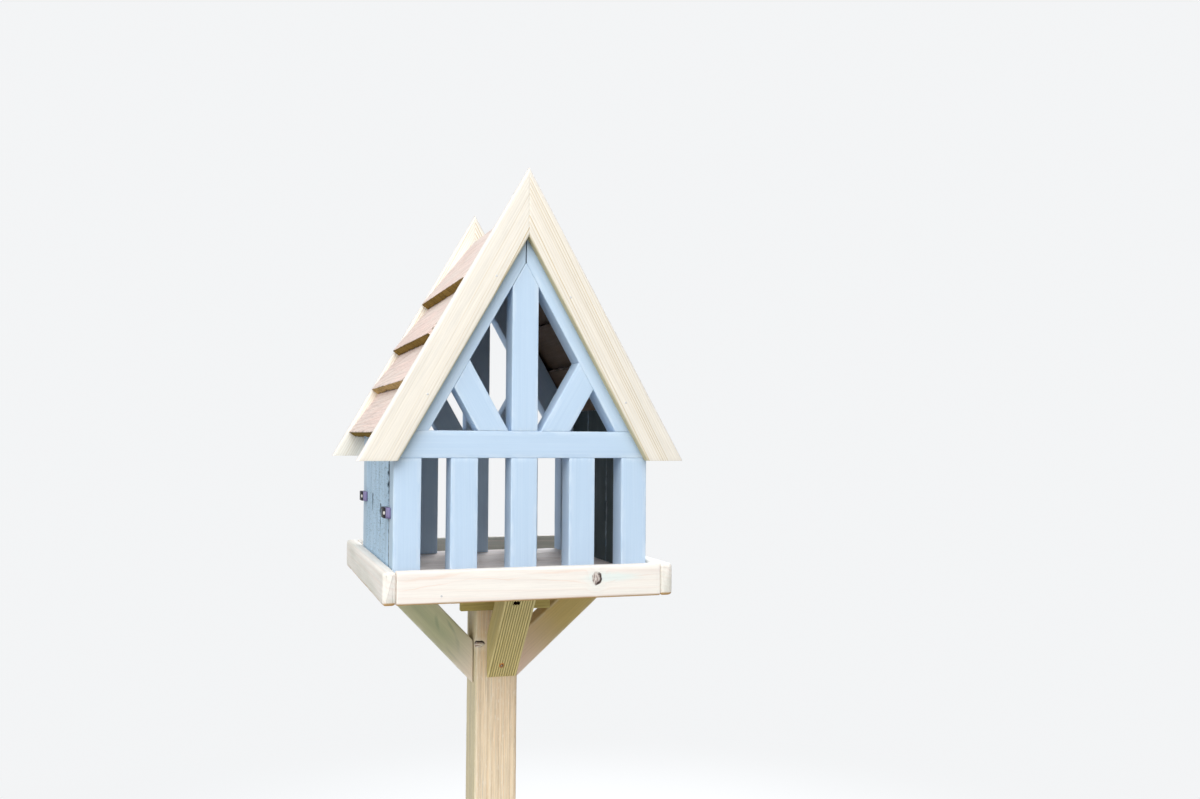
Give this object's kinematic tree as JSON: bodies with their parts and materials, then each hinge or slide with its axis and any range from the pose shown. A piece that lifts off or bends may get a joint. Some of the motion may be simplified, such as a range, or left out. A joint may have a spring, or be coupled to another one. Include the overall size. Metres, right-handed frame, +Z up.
{
  "type": "bird table",
  "caption": "Wooden bird table: a square post on crossed feet, a railed tray on diagonal braces and an open-fronted house with framed gables and a steep roof of lapped boards.",
  "frame": {"origin": "on the ground, on the axis of the post, under the middle of the tray", "axes": "+Z up, +X to the right seen from the open front, +Y towards the rear gable; -Y is the front"},
  "size_m": [0.7, 0.7, 1.8718],
  "materials": {
    "blue_paint": "pale blue opaque paint over planed and rough-sawn softwood",
    "pale_pine": "cream softwood, eased arrises, fine grain, weathered",
    "roof_wood": "rough-sawn boards, weathered pinkish brown, golden at the cut edges",
    "floor_wood": "rough boards, weathered reddish grey-brown",
    "treated_wood": "pressure-treated softwood, greenish tan",
    "post_wood": "planed tan softwood with eased arrises",
    "black_plastic": "black moulded plastic"
  },
  "bodies": {
    "root": {"bargeboard_front_left": "pale_pine", "bargeboard_front_right": "pale_pine", "bargeboard_rear_left": "pale_pine", "bargeboard_rear_right": "pale_pine", "base_braces": "treated_wood", "brace_front": "treated_wood", "brace_left": "treated_wood", "brace_rear": "treated_wood", "brace_right": "treated_wood", "foot_across": "post_wood", "foot_along": "post_wood", "front_beam": "blue_paint", "front_corner_posts": "blue_paint", "front_king_post": "blue_paint", "front_rafter_left": "blue_paint", "front_rafter_right": "blue_paint", "front_struts": "blue_paint", "front_uprights": "blue_paint", "head_cleats": "treated_wood", "house_floor": "floor_wood", "joining_blocks_left": "black_plastic", "joining_blocks_right": "black_plastic", "post": "post_wood", "rear_beam": "blue_paint", "rear_corner_posts": "blue_paint", "rear_king_post": "blue_paint", "rear_rafter_left": "blue_paint", "rear_rafter_right": "blue_paint", "rear_struts": "blue_paint", "rear_uprights": "blue_paint", "roof_board_left_1": "roof_wood", "roof_board_left_2": "roof_wood", "roof_board_left_3": "roof_wood", "roof_board_left_4": "roof_wood", "roof_board_right_1": "roof_wood", "roof_board_right_2": "roof_wood", "roof_board_right_3": "roof_wood", "roof_board_right_4": "roof_wood", "side_wall_left": "blue_paint", "side_wall_right": "blue_paint", "tray_floor": "floor_wood", "tray_rail_front": "pale_pine", "tray_rail_left": "pale_pine", "tray_rail_rear": "pale_pine", "tray_rail_right": "pale_pine"}
  },
  "joints": []
}
